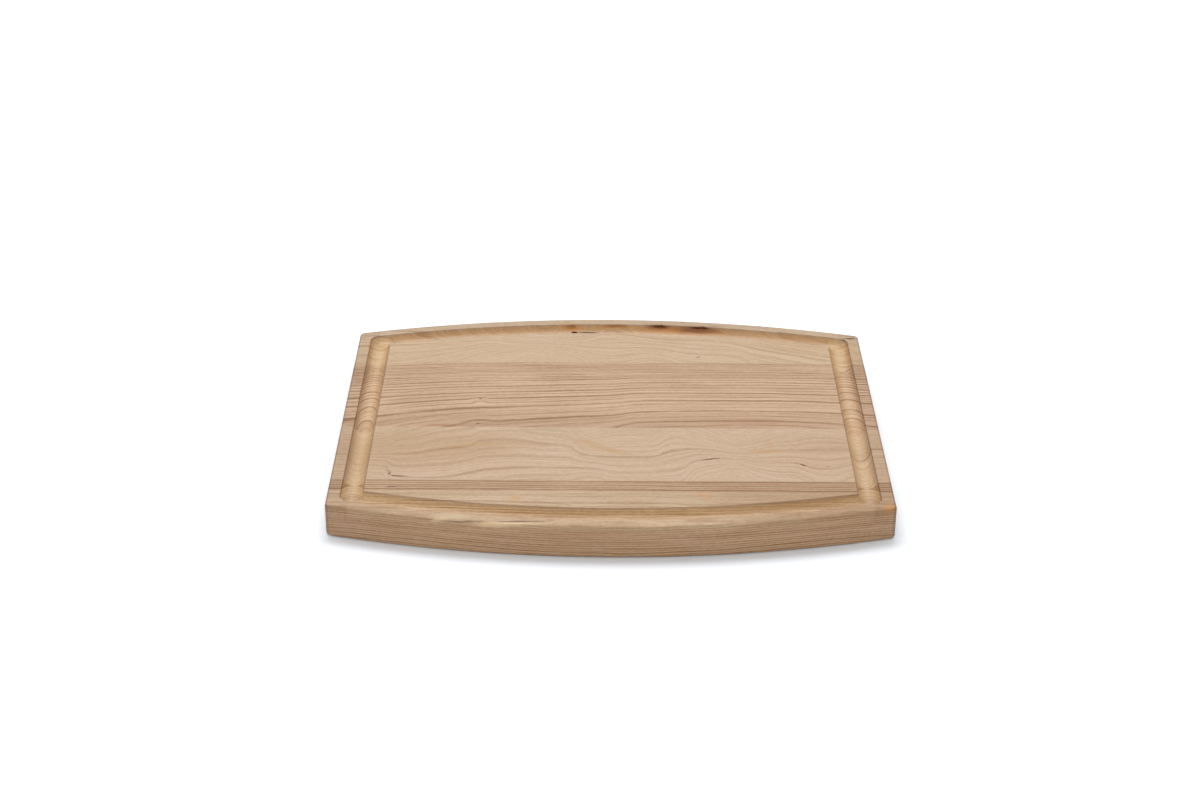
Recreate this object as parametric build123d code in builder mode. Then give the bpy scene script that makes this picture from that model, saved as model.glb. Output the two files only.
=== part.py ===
# Arched hardwood cutting board with a juice channel.
#
# Four staves of different widths lie side by side with their grain along X. Their planed edges
# are glued into one panel. The panel is then cut to shape: straight ends across X, and long edges
# that bow outwards as circular arcs. A round-nose cutter runs a juice channel round the top,
# parallel to the outline. The outer edges are rounded over, and the lips of the channel are
# sanded soft. The shape is made once, on the whole panel, and each piece is then cut out of it.
#
# The frame is right-handed, in millimetres. X runs along the grain, Y across it, and +Z points
# up. The origin is the middle of the underside, and the board lies on Z = 0.

from build123d import *
import math
import os

# Driving dimensions
board_length = 304.8  # 12 in, along the grain
end_width = 203.2  # 8 in, across the board at its straight ends
bow = 20.64  # how far each long edge bulges past the ends
thickness = 19.05  # 3/4 in
corner_radius = 3.2  # in plan, where a straight end meets a bowed edge
edge_radius = 1.6  # roundover of the outer edges, top and bottom

cutter_radius = 6.35  # half of a 1/2 in round-nose cutter
channel_depth = 4.5
channel_inset = 13.3  # from the outline to the middle of the channel
lip_radius = 0.4  # sanded lips of the channel
cutter_clearance = 2.0  # how far the cutter's section stands above the board

glue_thickness = 0.1  # cured glue between two staves
back_seam = 63.5  # Y of the middle of each glue line
middle_seam = -15.7
front_seam = -74.3

# The outline, and the path of the cutter inside it
half_length = board_length / 2
half_end = end_width / 2
half_width = half_end + bow
bow_radius = (half_length**2 + bow**2) / (2 * bow)
path_half_length = half_length - channel_inset
path_half_width = half_width - channel_inset
path_radius = bow_radius - channel_inset
path_half_end = path_half_width - path_radius + math.sqrt(path_radius**2 - path_half_length**2)

# The channel's section, with heights over the top face. Its lip is an arc that touches both the
# top face and the round of the cutter.
nose_height = cutter_radius - channel_depth  # of the middle of the cutter's round nose
lip_middle = math.sqrt((cutter_radius + lip_radius) ** 2 - (nose_height + lip_radius) ** 2)
lip_angle = math.atan2(lip_middle, nose_height + lip_radius)  # from straight down, at the nose
lip_start = (
    cutter_radius * math.sin(lip_angle),
    nose_height - cutter_radius * math.cos(lip_angle),
)
round_middle = (
    cutter_radius * math.sin(lip_angle / 2),
    nose_height - cutter_radius * math.cos(lip_angle / 2),
)

up = Vector(0, 0, 1)
os.makedirs("parts", exist_ok=True)

# Half of the section, from the deepest line out to one lip and then up, clear of the board.
with BuildSketch() as half_channel:
    with BuildLine():
        ThreePointArc((0, -channel_depth), round_middle, lip_start)
        RadiusArc(lip_start, (lip_middle, 0), lip_radius)
        Polyline(
            (lip_middle, 0),
            (lip_middle, cutter_clearance),
            (0, cutter_clearance),
            (0, -channel_depth),
        )
    make_face()

# The cutter's path on the top face: a straight run at each end, and a run along each bow.
with BuildLine(Plane.XY.offset(thickness)) as channel_path:
    for side in (1, -1):
        Line((side * path_half_length, -path_half_end), (side * path_half_length, path_half_end))
        ThreePointArc(
            (-path_half_length, side * path_half_end),
            (0, side * path_half_width),
            (path_half_length, side * path_half_end),
        )

# What the cutter takes away: the section swept along each run, and spun at each corner.
with BuildPart() as cutter_sweep:
    for run in channel_path.edges():
        along = run % 0
        with BuildSketch(Plane(origin=run @ 0, x_dir=up.cross(along), z_dir=along)):
            add(half_channel.sketch)
            mirror(about=Plane.YZ)
        sweep(path=run)
    for corner in channel_path.vertices():
        with BuildSketch(Plane(origin=tuple(corner), x_dir=(1, 0, 0), z_dir=(0, -1, 0))):
            add(half_channel.sketch)
        revolve(axis=Axis(tuple(corner), up))

# The whole panel, cut to shape.
with BuildPart() as panel:
    with BuildSketch() as outline:
        with BuildLine():
            for side in (1, -1):
                ThreePointArc(
                    (-half_length, side * half_end),
                    (0, side * half_width),
                    (half_length, side * half_end),
                )
                Line((side * half_length, -half_end), (side * half_length, half_end))
        make_face()
        fillet(outline.vertices(), corner_radius)
    extrude(amount=thickness)
    rims = panel.edges().group_by(Axis.Z)
    fillet(rims[0] + rims[-1], edge_radius)
    add(cutter_sweep.part, mode=Mode.SUBTRACT)


# One piece is what lies between two upright planes along the grain.
def cut_piece(label, front, back):
    with BuildPart() as piece:
        add(panel.part)
        split(bisect_by=Plane(origin=(0, front, 0), z_dir=(0, 1, 0)), keep=Keep.TOP)
        split(bisect_by=Plane(origin=(0, back, 0), z_dir=(0, 1, 0)), keep=Keep.BOTTOM)
    piece.part.label = label
    export_step(piece.part, f"parts/{label}.step")


# The glue lines, from the front to the back, and the staves between them.
half_glue = glue_thickness / 2
clear_of_board = half_width + 1

cut_piece("glue_line_front", front_seam - half_glue, front_seam + half_glue)
cut_piece("glue_line_middle", middle_seam - half_glue, middle_seam + half_glue)
cut_piece("glue_line_back", back_seam - half_glue, back_seam + half_glue)

cut_piece("stave_front", -clear_of_board, front_seam - half_glue)
cut_piece("stave_middle_front", front_seam + half_glue, middle_seam - half_glue)
cut_piece("stave_middle_back", middle_seam + half_glue, back_seam - half_glue)
cut_piece("stave_back", back_seam + half_glue, clear_of_board)
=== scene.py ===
import math
import bmesh
import bpy
from mathutils import Matrix, Vector, noise


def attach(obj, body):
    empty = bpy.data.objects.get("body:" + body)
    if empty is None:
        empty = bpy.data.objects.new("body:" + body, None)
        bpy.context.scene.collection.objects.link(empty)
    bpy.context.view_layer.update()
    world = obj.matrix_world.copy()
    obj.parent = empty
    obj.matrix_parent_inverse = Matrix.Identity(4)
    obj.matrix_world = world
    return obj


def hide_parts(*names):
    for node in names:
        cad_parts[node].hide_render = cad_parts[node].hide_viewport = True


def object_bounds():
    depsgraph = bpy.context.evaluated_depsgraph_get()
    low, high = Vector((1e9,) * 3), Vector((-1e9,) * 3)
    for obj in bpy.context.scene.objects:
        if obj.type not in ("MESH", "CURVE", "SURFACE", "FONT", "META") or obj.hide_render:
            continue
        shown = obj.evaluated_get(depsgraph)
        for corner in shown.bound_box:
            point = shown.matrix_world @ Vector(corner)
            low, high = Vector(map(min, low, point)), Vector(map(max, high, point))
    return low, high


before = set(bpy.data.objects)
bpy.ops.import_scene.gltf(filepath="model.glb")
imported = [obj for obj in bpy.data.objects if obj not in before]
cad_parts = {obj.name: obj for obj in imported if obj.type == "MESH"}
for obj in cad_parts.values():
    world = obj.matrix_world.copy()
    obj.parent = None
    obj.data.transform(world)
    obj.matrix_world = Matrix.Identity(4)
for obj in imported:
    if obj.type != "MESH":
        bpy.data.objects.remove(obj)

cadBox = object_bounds()
perMetre = 1000.0  # woods and pits are laid out in millimetres

board = {
    "halfLength": cadBox[1].x * perMetre,
    "halfWidth": cadBox[1].y * perMetre,
    "thickness": cadBox[1].z * perMetre,
    "endWidth": 203.2,
    "channelInset": 13.3,  # channel centre line, in from the edge
}
bow = board["halfWidth"] - board["endWidth"] / 2
arcRadius = (board["halfLength"] ** 2 + bow ** 2) / (2 * bow)  # long edges are arcs of this radius
arcCentre = arcRadius - board["halfWidth"]  # how far past the middle each arc is centred

studio = {
    "cameraPlace": (-0.01103, -1.0924, 0.6238),
    "cameraTurn": (61.402, -0.409, -0.050),  # degrees about X, Y, Z
    "lens": 65.45,
    "floorSize": 9.0,
    "floorDrop": 0.00005,  # keeps the floor clear of the underside
    "floorWhite": (0.885, 0.925, 0.97, 1),
    "floorRoughness": 0.9,
    "floorShine": 0.1,
    "skyStrength": 0.58,
    "panels": {  # soft boxes, all aimed at the board
        "overhead": {"place": (-0.05, 0.5, 1.45), "size": (0.9, 0.6), "power": 12.8},
        "backPanel": {"place": (0.0, 1.6, 0.85), "size": (1.8, 0.6), "power": 6.8},
        "leftPanel": {"place": (-1.4, 0.25, 0.8), "size": (1.0, 0.8), "power": 6.4},
        "rightPanel": {"place": (1.4, 0.25, 0.8), "size": (1.0, 0.8), "power": 4.6},
        "frontFill": {"place": (0.0, -1.8, 0.62), "size": (1.8, 0.5), "power": 6.0},
    },
}


def addLight(name, look):
    data = bpy.data.lights.new(name, "AREA")
    data.shape = "RECTANGLE"
    data.size, data.size_y = look["size"]
    data.energy = look["power"]
    lamp = bpy.data.objects.new(name, data)
    lamp.location = look["place"]
    lamp.rotation_euler = (-Vector(look["place"])).to_track_quat("-Z", "Y").to_euler()
    lamp.visible_camera = False
    bpy.context.scene.collection.objects.link(lamp)


def addCamera():
    camera = bpy.data.objects.new("camera", bpy.data.cameras.new("camera"))
    camera.location = studio["cameraPlace"]
    camera.rotation_euler = [math.radians(turn) for turn in studio["cameraTurn"]]
    camera.data.lens = studio["lens"]
    bpy.context.scene.collection.objects.link(camera)
    bpy.context.scene.camera = camera


def layFloor():
    bm = bmesh.new()
    bmesh.ops.create_grid(bm, x_segments=1, y_segments=1, size=studio["floorSize"] / 2)
    bmesh.ops.translate(bm, vec=(0, 0, -studio["floorDrop"]), verts=bm.verts)
    material, shader, start = newFinish("whiteSweep")
    shader.inputs["Base Color"].default_value = studio["floorWhite"]
    shader.inputs["Roughness"].default_value = studio["floorRoughness"]
    shader.inputs["Specular IOR Level"].default_value = studio["floorShine"]
    floor = addObject("floor", bm, [material])


def lightStudio():
    world = bpy.data.worlds.new("whiteStudio")
    bpy.context.scene.world = world
    world.use_nodes = True
    sky = world.node_tree.nodes["Background"]
    sky.inputs["Color"].default_value = (1, 1, 1, 1)
    # the camera sees plain white, and the board is lit by a dimmer sky
    seen = Wire(world.node_tree).node("ShaderNodeLightPath", output="Is Camera Ray")
    (seen * (1 - studio["skyStrength"]) + studio["skyStrength"]).into(sky, "Strength")
    for name, look in studio["panels"].items():
        addLight(name, look)
    bpy.context.scene.view_settings.view_transform = "Standard"


def addObject(name, bm, materials):
    mesh = bpy.data.meshes.new(name)
    bm.to_mesh(mesh)
    bm.free()
    for material in materials:
        mesh.materials.append(material)
    piece = bpy.data.objects.new(name, mesh)
    bpy.context.scene.collection.objects.link(piece)
    return piece


class Wire:  # one socket of a node tree, so that shader maths reads as plain sums
    def __init__(self, tree, socket=None):
        self.tree = tree
        self.socket = socket

    def node(self, kind, settings=None, inputs=None, output=0):
        made = self.tree.nodes.new(kind)
        for name, value in (settings or {}).items():
            if name == "points":
                layCurve(made.mapping, value)
            else:
                setattr(made, name, value)
        for name, value in (inputs or {}).items():
            if isinstance(value, Wire):
                value.into(made, name)
            else:
                made.inputs[name].default_value = value
        return Wire(self.tree, made.outputs[output])

    def into(self, made, name):
        self.tree.links.new(self.socket, made.inputs[name])

    def sibling(self, name):  # another output of the same node
        return Wire(self.tree, self.socket.node.outputs[name])

    def sums(self, operation, *values):
        return self.node("ShaderNodeMath", {"operation": operation}, dict(enumerate(values)))

    def __add__(self, other):
        return self.sums("ADD", self, other)

    def __sub__(self, other):
        return self.sums("SUBTRACT", self, other)

    def __rsub__(self, other):
        return self.sums("SUBTRACT", other, self)

    def __mul__(self, other):
        return self.sums("MULTIPLY", self, other)

    def __truediv__(self, other):
        return self.sums("DIVIDE", self, other)

    def __pow__(self, power):
        return self.sums("POWER", self, power)

    def __abs__(self):
        return self.sums("ABSOLUTE", self)

    __radd__ = __add__
    __rmul__ = __mul__

    def larger(self, other):
        return self.sums("MAXIMUM", self, other)

    def rise(self, low, high, past=0):  # 0 below low, 1 above high, eased between
        limits = {"Value": self, "From Min": past + low, "From Max": past + high}
        return self.node("ShaderNodeMapRange", {"interpolation_type": "SMOOTHSTEP"}, limits)

    def along(self, points, handle="AUTO"):  # a curve through (place, height) points
        lowX, highX = points[0][0], points[-1][0]
        lowY = min(height for place, height in points)
        highY = max(height for place, height in points)
        spots = [((place - lowX) / (highX - lowX), (height - lowY) / (highY - lowY), handle)
                 for place, height in points]
        share = self.node("ShaderNodeMapRange", {}, {"Value": self, "From Min": lowX, "From Max": highX})
        curve = self.node("ShaderNodeFloatCurve", {"points": spots}, {"Value": share})
        return curve * (highY - lowY) + lowY

    def stretched(self, scale, shift=(0, 0, 0)):
        return self.node("ShaderNodeMapping", {}, {"Vector": self, "Location": shift, "Scale": scale})

    def cloud(self, detail=2.0, rough=0.5):  # noise around 0, about -0.5 to 0.5
        look = {"Vector": self, "Scale": 1.0, "Detail": detail, "Roughness": rough}
        return self.node("ShaderNodeTexNoise", {}, look) - 0.5

    def mixed(self, base, other, blend="MIX"):  # this wire is the factor
        return self.node("ShaderNodeMix", {"data_type": "RGBA", "blend_type": blend},
                         {0: self, 6: base, 7: other}, output=2)


def layCurve(mapping, spots):
    points = mapping.curves[0].points
    while len(points) < len(spots):
        points.new(0.5, 0.5)
    for point, (place, height, handle) in zip(points, spots):
        point.location = (place, height)
        point.handle_type = handle
    mapping.update()


def newFinish(name):
    material = bpy.data.materials.new(name)
    material.use_nodes = True
    return material, material.node_tree.nodes["Principled BSDF"], Wire(material.node_tree)


def tone(red, green, blue):  # a colour as it looks, made linear
    def linear(part):
        part = part / 255
        return part / 12.92 if part <= 0.04045 else ((part + 0.055) / 1.055) ** 2.4
    return (linear(red), linear(green), linear(blue), 1)


# What all four staves share. Lengths are millimetres, scales are features per millimetre along
# X, Y and Z, and a pair is where a mask starts and where it is full.
wood = {
    "roughness": 0.56,
    "channelRoughness": 0.42,
    "mottleRoughness": 0.2,
    "lineRoughness": -0.05,
    "restDepth": 0.15,  # how far plain wood already leans to its late wood colour
    "mottleDepth": 0.8,
    "patchContrast": 1.6,
    "rimStrokes": 0.45,  # extra strength of the grain on the side rims
    "endTint": (0.6, 0.53, 0.48, 1),
    "endGrainFrom": (0.12, 0.75),  # how squarely a face looks along the grain
    "channelShield": 0.9,  # how little end grain shows in the channel
    # painted highlight: the side channels are lightened and warmed where their floors catch sheen and
    # bounced light
    "sideChannelPaintedHighlight": (1.22, 1.17, 0.99, 1),
    "channelTop": (0.1, 1.5),
    "channelFloor": (6, 8),
    "sideBedEdge": (-0.6, 0.4),
    "sideRimTint": (0.9, 0.875, 0.845, 1),
    "sideRimEdge": (0, 2),
    "sideRimDepth": (1, 8),
    "longRimEdge": (-1.5, 0.5),
    "longRimDepth": (0.8, 5),
    "longFaceEdge": (-1.2, -0.2),
    "longFaceDepth": (0.5, 3),
    "slowScale": (0.016, 0.06, 0.06),
    "wanderScale": (0.06, 0.3, 0.3),
    "fadeScale": (0.022, 0.12, 0.12),
    "mottleScale": (0.35, 1.3, 1.3),
    "patchScale": (0.02, 0.07, 0.07),
    "streakAlong": 0.012,  # streaks and hair change this slowly along X
    "streakUp": 0.02,
    "streakScale": (1, 0.9, 1),
    "hairScale": (3, 3.2, 3),
    "driftScale": (0.035, 0.24, 0.24),
    "drift": (7, 1.8, 1.8),  # how far the edges of a mark stray
    "spotEdge": (0.25, 1.15),  # where a spot starts to fade and is gone, in shares of its half size
    "ringDrift": 2.0,
    "fineRise": (0.15, 0.9),  # where the slow rise across a faint ring starts and ends
    "hairBump": 0.6,
    "mottleBump": 0.8,
    "lineBump": -0.5,
    "fibreBump": 0.00006,  # metres
}


def fromPith(y, down, look):
    out = y - look["pith"]
    return (out * out + down * down) ** 0.5


def wanderingPith(x, y, depth, look):  # distance from a pith line that rises and falls along the board
    return fromPith(y, x.along(look["pithDepth"]) - depth, look)


def straightPith(x, y, depth, look):
    return fromPith(y, look["pithDepth"] - depth, look)


def guideDistance(x, y, depth, look):  # distance between two guide lines drawn on the face
    lower = x.along(look["lowerGuide"])
    upper = x.along(look["upperGuide"])
    return (y + depth * look["lean"] - lower) / (upper - lower) * look["gap"]


def ringProfile(lines):  # slow rise into each dark line, then a quick fall, as late wood has
    plain = 12  # plain wood beyond the first and last lines
    apart = 0.02  # least gap between one line and the next
    peak = 0.12  # the darkest place, before the line's own place, as a share of its width
    fall = 0.3
    end = lines[0][0] - plain
    points = [(end, 0)]
    for place, strength, width in lines:
        start = max(end + apart, place - width)
        end = place + fall * width
        points += [(start, 0), (place - peak * width, strength), (end, 0)]
    return points + [(end + plain, 0)]


def spotMask(place, spots):  # spots: x, y, depth, length, width, height, turn, strength
    mask = None
    for x, y, depth, length, width, height, turn, strength in spots:
        local = place.node("ShaderNodeMapping", {"vector_type": "TEXTURE"}, {
            "Vector": place, "Location": (x, y, board["thickness"] - depth),
            "Rotation": (0, 0, math.radians(turn)), "Scale": (length / 2, width / 2, height / 2)})
        far = local.node("ShaderNodeVectorMath", {"operation": "LENGTH"}, {0: local}, output="Value")
        one = (1 - far.rise(*wood["spotEdge"])) * strength
        mask = one if mask is None else mask.larger(one)
    return mask


def boardZones(x, y, depth):  # masks for the channel, the rims round it and the long faces
    half = board["channelInset"] / 2  # about half the channel's width, and about the rim's
    sideCentre = board["halfLength"] - board["channelInset"]
    endEdge = board["halfLength"] - half
    arcEdge = arcRadius - half
    reach = (x * x + (abs(y) + arcCentre) ** 2.0) ** 0.5
    within = (1 - abs(x).rise(0, 1, past=endEdge)) * (1 - reach.rise(0, 1, past=arcEdge))
    aside = abs(abs(x) - sideCentre)
    return {
        "channel": depth.rise(*wood["channelTop"]) * (1 - depth.rise(*wood["channelFloor"])) * within,
        "sideRun": 1 - aside.rise(0, half),
        "sideBed": 1 - aside.rise(*wood["sideBedEdge"], past=half),
        "sideRim": (abs(x).rise(*wood["sideRimEdge"], past=sideCentre)
                    * (1 - depth.rise(*wood["sideRimDepth"]))),
        "longRim": (reach.rise(*wood["longRimEdge"], past=arcEdge)
                    * (1 - depth.rise(*wood["longRimDepth"]))),
        "longFace": (reach.rise(*wood["longFaceEdge"], past=arcRadius)
                     * depth.rise(*wood["longFaceDepth"])),
    }


def woodFigure(place, x, y, z, look, distance, zones):  # growth lines and all that runs with them
    seed = look["seed"]
    depth = board["thickness"] - z
    slow = place.stretched(wood["slowScale"], (seed, 0, 0)).cloud(2)
    wander = place.stretched(wood["wanderScale"], (0, seed, 0)).cloud(2)
    ring = distance(x, y, depth, look) + slow * look["slowWander"] + wander * look["wander"]
    for push, spots in look["knots"]:
        ring = ring + spotMask(place, spots) * push
    # the round bed of a side channel bends the lines that cross it
    ring = ring - depth * zones["channel"] * zones["sideBed"] * look["channelArch"]

    # growth lines, each with its own strength, fading in and out along the board
    fade = place.stretched(wood["fadeScale"], (0, 0, seed)).cloud(2) * look["fadeDepth"] + 1.0
    lines = ring.along(ringProfile(look["lines"]), "AUTO_CLAMPED") * fade

    # faint rings between them, each its own strength
    count = ring / look["ringPitch"] + slow * wood["ringDrift"]
    share = count.sums("FRACT", count)
    number = count.sums("FLOOR", count)
    luck = number.node("ShaderNodeTexWhiteNoise", {"noise_dimensions": "1D"}, {"W": number})
    start, full = wood["fineRise"]
    fine = share.rise(start, full) * (1 - share.rise(full, 1.0)) * luck

    # fine streaks that follow the rings, and mottle that follows the fibres
    ringPlace = x.node("ShaderNodeCombineXYZ", inputs={
        0: x * wood["streakAlong"], 1: ring, 2: z * wood["streakUp"] + seed})
    streaks = ringPlace.stretched(wood["streakScale"]).cloud(3, 0.6)
    hair = ringPlace.stretched(wood["hairScale"]).cloud(2, 0.7)
    mottle = place.stretched(wood["mottleScale"], (seed, seed, 0)).cloud(3, 0.7)

    strokes = lines * look["lineDepth"]
    dark = (strokes + fine * look["fineDepth"] + streaks * look["streakDepth"]
            + hair * look["hairDepth"] + mottle * wood["mottleDepth"] + wood["restDepth"])
    dark = dark + (strokes + streaks) * zones["sideRim"] * wood["rimStrokes"]
    return dark, lines, hair, mottle


def woodColour(place, dark, look):  # broad patches, then the figure, then stains and marks
    patch = place.stretched(wood["patchScale"], (3 * look["seed"], 0, 0)).cloud(3)
    base = (patch * wood["patchContrast"] + 0.5).mixed(tone(*look["pale"]), tone(*look["warm"]))
    for tint, spots in look["patches"]:
        base = spotMask(place, spots).mixed(base, tone(*tint))
    colour = dark.mixed(base, tone(*look["lateWood"]))

    noisy = {"Vector": place.stretched(wood["driftScale"]), "Detail": 3.0}
    drift = place.node("ShaderNodeTexNoise", {}, noisy, output="Color")
    centred = place.stretched((1, 1, 1), [-push / 2 for push in wood["drift"]])
    strayed = {0: drift, 1: wood["drift"], 2: centred}
    loose = drift.node("ShaderNodeVectorMath", {"operation": "MULTIPLY_ADD"}, strayed)
    for tint, spots in look["marks"]:
        colour = spotMask(loose, spots).mixed(colour, tone(*tint))
    return colour


def boardWood(look, distance):
    material, shader, start = newFinish(look["slot"])
    place = start.node("ShaderNodeTexCoord", output="Object").stretched((perMetre,) * 3)
    x = start.node("ShaderNodeSeparateXYZ", inputs={0: place})
    y = x.sibling("Y")
    z = x.sibling("Z")
    depth = board["thickness"] - z
    zones = boardZones(x, y, depth)
    channel = zones["channel"]
    dark, lines, hair, mottle = woodFigure(place, x, y, z, look, distance, zones)
    colour = woodColour(place, dark, look)

    # end grain shows on whatever faces along the board, less so in the channel
    normal = start.node("ShaderNodeTexCoord", output="Normal")
    alongGrain = start.node("ShaderNodeSeparateXYZ", inputs={0: normal})
    endGrain = abs(alongGrain).rise(*wood["endGrainFrom"]) * (1 - channel * wood["channelShield"])
    # painted light and shade in the channels: the side runs take the painted highlight, and the front and
    # back runs take each stave's own channel tint, which paints shade into the back channel and light
    # into the front one
    runTint = zones["sideRun"].rise(0, 0.5).mixed(look["runTint"], wood["sideChannelPaintedHighlight"])
    # the long rim tint paints shade on the back stave's rim and light on the front stave's rim
    for mask, tint in ((endGrain, wood["endTint"]), (zones["sideRim"], wood["sideRimTint"]),
                       (zones["longFace"], look["faceTint"]), (zones["longRim"], look["rimTint"]),
                       (channel, runTint)):
        colour = mask.mixed(colour, tint, "MULTIPLY")
    colour.into(shader, "Base Color")

    smoother = wood["roughness"] - wood["channelRoughness"]  # the channel is worked finer
    rough = wood["roughness"] + mottle * wood["mottleRoughness"] + lines * wood["lineRoughness"]
    (rough - channel * smoother).into(shader, "Roughness")
    grain = hair * wood["hairBump"] + mottle * wood["mottleBump"] + lines * wood["lineBump"]
    bump = start.node("ShaderNodeBump", {}, {"Height": grain, "Distance": wood["fibreBump"]})
    bump.into(shader, "Normal")
    return material


# In each stave the guides and the pith depth are (x, place) points, lines are (distance, strength,
# width), knots push the rings aside, and pits are x, y, depth, length, width, height, turn.
backStave = {
    "node": "stave_back", "piece": "back_stave", "slot": "wood_back", "seed": 1.7,
    "pale": (182, 157, 129), "warm": (178, 151, 119), "lateWood": (124, 86, 16),
    # painted shade: the channel tint darkens and warms this stave's channel
    # painted shade: the rim tint darkens and cools this stave's rim
    "runTint": (1.05, 0.9, 0.69, 1), "rimTint": (0.88, 0.89, 0.92, 1), "faceTint": (1, 1, 1, 1),
    "lowerGuide": [(-152, 84), (-118, 86.3), (-88, 90.2), (-73, 92.2), (-58, 89.5), (-28, 87), (-4, 83),
                   (20, 84), (50, 76), (76, 73), (86, 62), (152, 40)],
    "upperGuide": [(-152, 106), (-68, 99), (-48, 93), (-18, 93), (0, 101), (28, 96), (70, 91.5), (80, 88),
                   (92, 82), (152, 62)],
    "gap": 14.0, "lean": 0.35, "channelArch": 0.6, "fadeDepth": 2.2,
    "patches": [((176, 146, 112), [(128, 84, 0, 90, 50, 40, 0, 0.3)])],
    "lines": [(-28, 0.3, 1.5), (-21, 0.3, 1.5), (-14, 0.35, 1.5), (-8, 0.4, 1.5), (-4, 0.2, 1),
              (0, 0.7, 1.5), (5, 0.2, 1.2), (9, 0.3, 1.2), (14, 0.5, 1.5), (19, 0.25, 1.2),
              (24, 0.3, 1.5), (31, 0.3, 1.5)],
    "lineDepth": 0.5, "fineDepth": 0.2, "streakDepth": 0.8, "hairDepth": 1.0, "ringPitch": 2.4,
    "slowWander": 2.0, "wander": 1.0, "knots": [],
    "marks": [
        ((174, 124, 60), [(43, 111, 2.5, 66, 8, 7, -4, 0.75), (50, 109.5, 3.5, 16, 5, 3, 0, 0.5),
                          (-23, 113.5, 2, 14, 5, 6, 0, 0.8), (4, 114, 1.2, 26, 3.4, 3, 0, 0.7),
                          (-26, 115.5, 0, 20, 5, 3, 0, 0.35)]),
        ((118, 74, 38), [(31, 113.9, 1.2, 22, 4, 5, -3, 0.9), (54, 111.2, 1.6, 36, 5.5, 7, -6, 0.9),
                         (-23.5, 114, 1.4, 6, 3, 3.6, 0, 0.7), (4, 114.2, 0.9, 14, 2.4, 2.4, 0, 0.75),
                         (66, 112.6, 0, 12, 2.4, 2, -8, 0.7), (47, 110, 2.8, 14, 3, 3, -8, 0.6)]),
        ((62, 44, 34), [(146.5, 97, 0, 10, 1.8, 3, 0, 1), (143.6, 95.5, 0.6, 1.6, 4, 3, 0, 0.6),
                        (-13, 111, 4.1, 17, 1.8, 2.4, 0, 0.9), (45, 118, 0, 4, 1.2, 2, 0, 0.8),
                        (93, 113, 0, 4, 1.2, 2, 0, 0.8), (53.5, 71.5, 0, 2.6, 1.8, 4, 20, 0.9)]),
    ],
    "pits": [(31, 114.6, 1.1, 13, 2.1, 2.0, -3), (57, 112.4, 1.0, 15, 2.0, 1.9, -5),
             (-21.4, 110.9, 4.2, 4.0, 2.0, 1.6, 0), (-13, 111.1, 4.2, 11, 0.5, 1.0, 1),
             (147, 97, 0.1, 6, 0.6, 1.2, 2)],
}

middleBackStave = {
    "node": "stave_middle_back", "piece": "middle_back_stave", "slot": "wood_middle_back", "seed": 4.1,
    "pale": (186, 156, 128), "warm": (180, 149, 119), "lateWood": (118, 78, 8),
    "runTint": (1, 1, 1, 1), "rimTint": (1, 1, 1, 1), "faceTint": (1, 1, 1, 1),
    "pith": -32.0,
    "pithDepth": [(-152, 48.5), (-132, 46), (-108, 42), (-80, 38), (-66, 36.5), (-28, 33), (0, 30),
                  (20, 25), (50, 23.5), (90, 23), (132, 26), (152, 28)],
    "lines": [(30.5, 0.3, 1.2), (34, 0.8, 1.7), (38.5, 0.35, 1.2), (41.2, 0.3, 1), (43.5, 0.9, 1.8),
              (47.3, 0.35, 1.2), (50.8, 0.4, 1.2), (54.5, 1, 1.8), (58.4, 0.45, 1.2), (60.2, 0.3, 1),
              (62.6, 0.9, 1.6), (65.9, 0.5, 1.2), (68.9, 0.9, 1.5), (70.6, 0.3, 0.9), (72.2, 0.45, 1.2),
              (75.2, 0.9, 1.5), (78.1, 0.5, 1.2), (80.8, 0.85, 1.4), (82.7, 0.5, 1), (84.5, 0.9, 1.1),
              (86.8, 0.9, 1.1), (88.3, 0.75, 0.9), (90, 0.7, 0.9), (91.6, 0.9, 1), (93.3, 0.65, 0.9),
              (94.9, 0.85, 1), (96.4, 0.6, 0.9), (97.7, 0.85, 1), (99.4, 0.6, 0.9), (101, 0.7, 0.9)],
    "lineDepth": 0.76, "fineDepth": 0.24, "streakDepth": 1.0, "hairDepth": 1.2, "ringPitch": 1.9,
    "slowWander": 1.2, "wander": 0.9, "channelArch": 2.1, "fadeDepth": 1.8,
    "knots": [(-1.5, [(-75, 16, 0, 14, 12, 50, 0, 1), (-75, -9, 0, 20, 14, 50, 0, 1)]),
              (6.0, [(139, 59, 4.5, 9, 9, 9, 0, 1)])],
    "patches": [((162, 128, 96), [(0, -10, 0, 560, 30, 30, 0, 0.6), (-108, 20, 0, 50, 90, 60, 0, 0.25)])],
    "marks": [
        ((146, 88, 46), [(-98, -13.6, 0, 18, 3, 8, 8, 0.7), (78, -9, 0, 62, 3, 5, 0, 0.4)]),
        ((96, 70, 54), [(-75, 18, 0, 3, 2.2, 6, 0, 0.7), (-75, -12, 0, 3.6, 2.6, 6, 0, 0.75)]),
    ],
    "pits": [(-75, 18, -0.08, 1.0, 0.7, 0.9, 10), (-75.2, -12, -0.08, 1.3, 0.9, 1.0, 0)],
}

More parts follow.
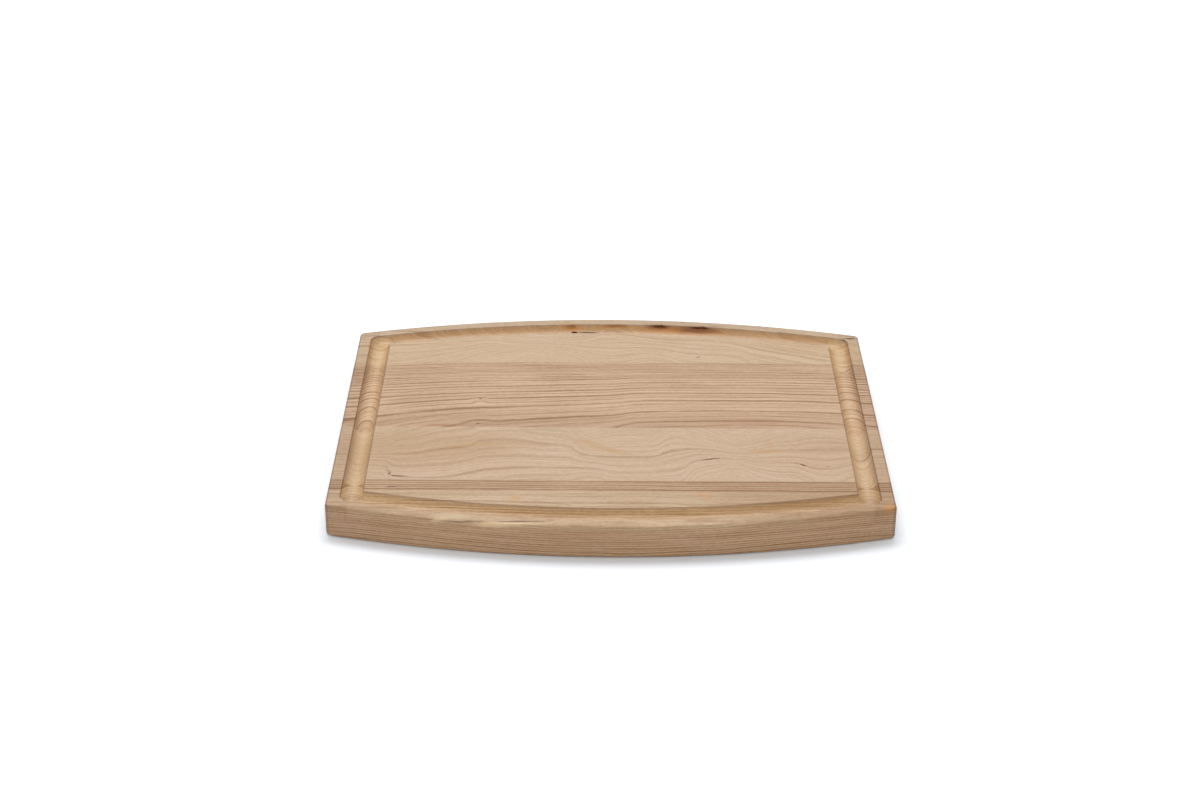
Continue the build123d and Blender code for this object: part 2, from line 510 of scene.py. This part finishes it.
middleFrontStave = {
    "node": "stave_middle_front", "piece": "middle_front_stave", "slot": "wood_middle_front", "seed": 7.3,
    "pale": (183, 157, 131), "warm": (178, 151, 122), "lateWood": (124, 84, 12),
    "runTint": (1, 1, 1, 1), "rimTint": (1, 1, 1, 1), "faceTint": (1, 1, 1, 1),
    "upperGuide": [(-152, -47), (-118, -46), (-98, -41), (-78, -36), (-72, -31), (-58, -29.5), (-38, -33),
                   (-28, -34), (-20, -40), (-13, -46), (0, -48), (20, -48), (30, -43), (47, -39),
                   (74, -43.5), (95, -40), (152, -38)],
    "lowerGuide": [(-152, -58), (-126, -59), (-120, -68), (-108, -71.5), (-77, -66), (-65, -62),
                   (-42, -60), (-12, -61), (10, -65.5), (30, -63), (40, -59), (53, -50.5), (66, -50),
                   (85, -54), (100, -54), (117, -60), (132, -56), (152, -54)],
    "gap": 20.0, "lean": 0.3, "channelArch": -1.1, "fadeDepth": 2.4,
    "lines": [(-14, 0.3, 2.5), (-6, 0.3, 2), (0, 0.55, 2.2), (9, 0.2, 2.5), (15, 0.2, 2), (20, 0.6, 3.2),
              (27, 0.25, 2.5), (33, 0.25, 2.5), (40, 0.2, 2), (48, 0.2, 2)],
    "lineDepth": 0.55, "fineDepth": 0.08, "streakDepth": 0.8, "hairDepth": 1.0, "ringPitch": 2.7,
    "slowWander": 1.6, "wander": 1.0, "knots": [(6.0, [(139, -22, 4.5, 9, 8, 9, 0, 1)])],
    "patches": [((168, 138, 104), [(-112, -40, 0, 140, 60, 60, 0, 0.75)]),
                ((172, 142, 112), [(120, -44, 0, 110, 60, 60, 0, 0.4)])],
    "marks": [
        ((164, 126, 72), [(-2, -40, 0, 40, 7, 20, -24, 0.5), (-12, -33, 0, 26, 6, 20, -30, 0.45),
                          (86, -41, 0, 28, 5, 12, 0, 0.6), (89, -32, 0, 4, 18, 12, 10, 0.4),
                          (-73, -35, 0, 54, 5, 12, 6, 0.35)]),
        ((152, 138, 100), [(-34, -19.5, 0, 34, 2.8, 8, -6, 0.6), (20, -19, 0, 50, 2, 8, 0, 0.35)]),
        ((92, 62, 44), [(55, -50.6, 0, 13, 1.2, 3, 14, 0.8), (105, -56, 0, 8, 1.4, 3, -38, 0.8),
                        (-115, -70.6, 0, 15, 1.2, 3, -5, 0.75), (-121, -66, 0, 2, 9, 3, 14, 0.5),
                        (119.5, -58, 0, 2.2, 1.5, 3, 0, 0.7), (-123.5, -61, 0, 7, 0.8, 3, 30, 0.4)]),
    ],
    "pits": [(53, -51.1, -0.08, 6.5, 0.5, 1.4, 16), (58, -49.9, -0.08, 5, 0.35, 1.0, 6),
             (106, -56.6, -0.08, 4.2, 0.8, 1.4, -42), (-116.5, -70.6, -0.08, 6.5, 0.55, 1.2, -8),
             (-120.6, -68.2, -0.08, 2.6, 0.5, 1.0, 60)],
}

frontStave = {
    "node": "stave_front", "piece": "front_stave", "slot": "wood_front", "seed": 9.6,
    "pale": (180, 155, 126), "warm": (176, 149, 117), "lateWood": (120, 76, 10),
    # painted light: the channel tint lightens this stave's channel
    # painted light: the rim tint lightens this stave's rim a little
    "runTint": (1.3, 1.26, 1.1, 1), "rimTint": (1.02, 1.02, 1.0, 1), "faceTint": (1.06, 0.985, 0.93, 1),
    "pith": -112.0, "pithDepth": 40.0,
    "lines": [(22, 0.4, 1.1), (23.3, 0.5, 1.1), (24.6, 0.45, 1.1), (26, 0.55, 1.1), (27.3, 0.4, 1.1),
              (28.6, 0.6, 1.1), (30, 0.5, 1.1), (31.3, 0.45, 1.1), (32.6, 0.6, 1.1), (34, 0.5, 1.1),
              (35.3, 0.6, 1.1), (36.6, 0.45, 1.1), (38, 0.5, 1.1), (39.4, 0.4, 1.1), (41, 0.3, 1.1),
              (43, 0.2, 1.1), (46, 0.2, 1.1), (49, 1, 1.2), (50.3, 0.8, 1.1), (51.6, 1, 1.1),
              (53, 0.8, 1.1), (54.4, 1.2, 1.3), (55.6, 0.9, 1.1)],
    "lineDepth": 0.65, "fineDepth": 0.35, "streakDepth": 0.9, "hairDepth": 1.0, "ringPitch": 1.3,
    "slowWander": 1.0, "wander": 0.5, "knots": [], "channelArch": 0.8, "fadeDepth": 1.1,
    "patches": [((162, 133, 101), [(112, -90, 0, 160, 80, 10, 0, 0.8)]),
                # painted light: the long pale patch along the front rim lightens it
                ((198, 170, 136), [(-10, -118.5, 0, 240, 10, 10, 0, 0.4)]),
                ((166, 124, 88), [(0, -79, 0, 600, 10, 12, 0.4, 0.28)])],
    "marks": [
        ((184, 128, 62), [(-51, -93, 0, 9, 6, 8, 0, 0.55), (51, -90, 0, 8, 8, 8, 0, 0.45),
                          (47, -88, 0, 12, 2.4, 8, 10, 0.5), (148, -101, 0, 8, 10, 8, 0, 0.7)]),
        ((206, 178, 140), [(-62, -118.6, 0, 56, 4.6, 6, 1, 0.85), (-94, -115, 0, 26, 2.6, 6, 8, 0.6)]),
        ((126, 80, 50), [(82, -104.6, 3, 14, 2.4, 4, -16, 0.7), (-28, -99, 0, 24, 1.2, 4, -10, 0.45)]),
        ((100, 70, 44), [(-49, -117, 0, 38, 2, 4, 1, 0.9), (-74, -116.6, 0, 30, 1.3, 4, -3, 0.7),
                         (-118.2, -82, 0, 9, 1.5, 3, 0, 0.9)]),
    ],
    "pits": [(-118.2, -82, -0.08, 5, 0.5, 1.2, 2)],
}


# bark pockets, a gum hole, pin knots and short cracks, cut into the finished staves
pocket = {
    "raggedness": 0.4,
    "lumps": 2,  # lumps across a pit
    "seedDetail": 4,
    "pale": (158, 96, 48), "deep": (98, 54, 24), "contrast": 2.2,
    "scale": (600, 1500, 1500),  # per metre
    "roughness": 0.8, "roughSpread": 0.3,
    "bump": 0.0003,  # metres
    "copyWeld": 2e-6,  # metres between points that become one, before the cut
    "cutWeld": 1e-6,  # and after it
    "sharpFrom": 32,  # degrees between faces that still shade as one
}


def pocketMaterial():
    material, shader, start = newFinish("barkPocket")
    ragged = start.node("ShaderNodeTexCoord", output="Object").stretched(pocket["scale"]).cloud(4, 0.7)
    patchy = (ragged * pocket["contrast"] + 0.5).mixed(tone(*pocket["deep"]), tone(*pocket["pale"]))
    patchy.into(shader, "Base Color")
    (ragged * pocket["roughSpread"] + pocket["roughness"]).into(shader, "Roughness")
    bump = start.node("ShaderNodeBump", {}, {"Height": ragged, "Distance": pocket["bump"]})
    bump.into(shader, "Normal")
    return material


def pitCutter(look):  # one ragged seed for each pit
    cutter = bmesh.new()
    for x, y, depth, length, width, height, turn in look["pits"]:
        ball = bmesh.ops.create_icosphere(cutter, subdivisions=pocket["seedDetail"], radius=0.5)
        stretch = Vector((length / height, 1, 1)) * pocket["lumps"]
        for vert in ball["verts"]:
            lump = noise.noise(vert.co * stretch + Vector((x, y, look["seed"])))
            vert.co *= 1 + pocket["raggedness"] * lump
        middle = Matrix.Translation((x, y, board["thickness"] - depth))
        spin = Matrix.Rotation(math.radians(turn), 4, "Z")
        grow = Matrix.Diagonal((length, width, height, 1))
        bmesh.ops.transform(cutter, matrix=middle @ spin @ grow, verts=ball["verts"])
    bmesh.ops.scale(cutter, vec=(1 / perMetre,) * 3, verts=cutter.verts)
    for face in cutter.faces:
        face.material_index = 1
    return cutter


def looseCrumbs(bm):  # faces of every lump but the largest
    waiting = set(bm.faces)
    lumps = []
    while waiting:
        lump = [waiting.pop()]
        for face in lump:
            beside = {other for edge in face.edges for other in edge.link_faces} & waiting
            waiting -= beside
            lump += sorted(beside, key=lambda other: other.index)
        lumps.append(lump)
    lumps.sort(key=len)
    return [face for lump in lumps[:-1] for face in lump]


def thinFins(bm):  # faces that lie back to back on the same corners
    corners = {}
    for face in bm.faces:
        corners.setdefault(frozenset(face.verts), []).append(face)
    return [face for pair in corners.values() if len(pair) > 1 for face in pair]


def cleanCut(mesh):
    bm = bmesh.new()
    bm.from_mesh(mesh)
    bmesh.ops.delete(bm, geom=looseCrumbs(bm), context="FACES")
    bmesh.ops.remove_doubles(bm, verts=bm.verts, dist=pocket["cutWeld"])
    bmesh.ops.triangulate(bm, faces=bm.faces)
    bmesh.ops.delete(bm, geom=thinFins(bm), context="FACES")
    bm.to_mesh(mesh)
    bm.free()


def finishStave(look, woodFinish, pitFinish):
    bm = bmesh.new()
    bm.from_mesh(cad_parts[look["node"]].data)
    bmesh.ops.remove_doubles(bm, verts=bm.verts, dist=pocket["copyWeld"])
    for face in bm.faces:
        face.smooth = True
        face.material_index = 0
    stave = addObject(look["piece"], bm, [woodFinish, pitFinish])
    if "custom_normal" in stave.data.attributes:
        stave.data.attributes.remove(stave.data.attributes["custom_normal"])

    cutter = addObject("cutter", pitCutter(look), [woodFinish, pitFinish])
    cut = stave.modifiers.new("pits", "BOOLEAN")
    cut.object = cutter
    cut.operation = "DIFFERENCE"
    cut.solver = "EXACT"
    cut.use_self = True
    carved = bpy.data.meshes.new_from_object(stave.evaluated_get(bpy.context.evaluated_depsgraph_get()))
    cleanCut(carved)
    stave.modifiers.clear()
    bpy.data.objects.remove(cutter)

    carved.set_sharp_from_angle(angle=math.radians(pocket["sharpFrom"]))
    stave.data = carved
    shade = stave.modifiers.new("shading", "WEIGHTED_NORMAL")
    shade.keep_sharp = True
    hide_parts(look["node"])
    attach(stave, "root")
    return stave


glue = {
    "pale": (150, 116, 84), "deep": (120, 88, 60),
    "scale": (60, 400, 400),  # per metre
    "roughness": 0.4, "roughSpread": 0.2,
}


def glueMaterial():
    material, shader, start = newFinish("glueLine")
    cloud = start.node("ShaderNodeTexCoord", output="Object").stretched(glue["scale"]).cloud(3)
    (cloud + 0.5).mixed(tone(*glue["pale"]), tone(*glue["deep"])).into(shader, "Base Color")
    (cloud * glue["roughSpread"] + glue["roughness"]).into(shader, "Roughness")
    return material


addCamera()
layFloor()
lightStudio()
print("studio set")

pitFinish = pocketMaterial()
for look, distance in ((backStave, guideDistance), (middleBackStave, wanderingPith),
                       (middleFrontStave, guideDistance), (frontStave, straightPith)):
    stave = finishStave(look, boardWood(look, distance), pitFinish)
    print("finished", stave.name, "with", len(stave.data.polygons), "faces")

glueFinish = glueMaterial()
for name in ("glue_line_front", "glue_line_middle", "glue_line_back"):
    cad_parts[name].data.materials[0] = glueFinish
print("glue on its lines")
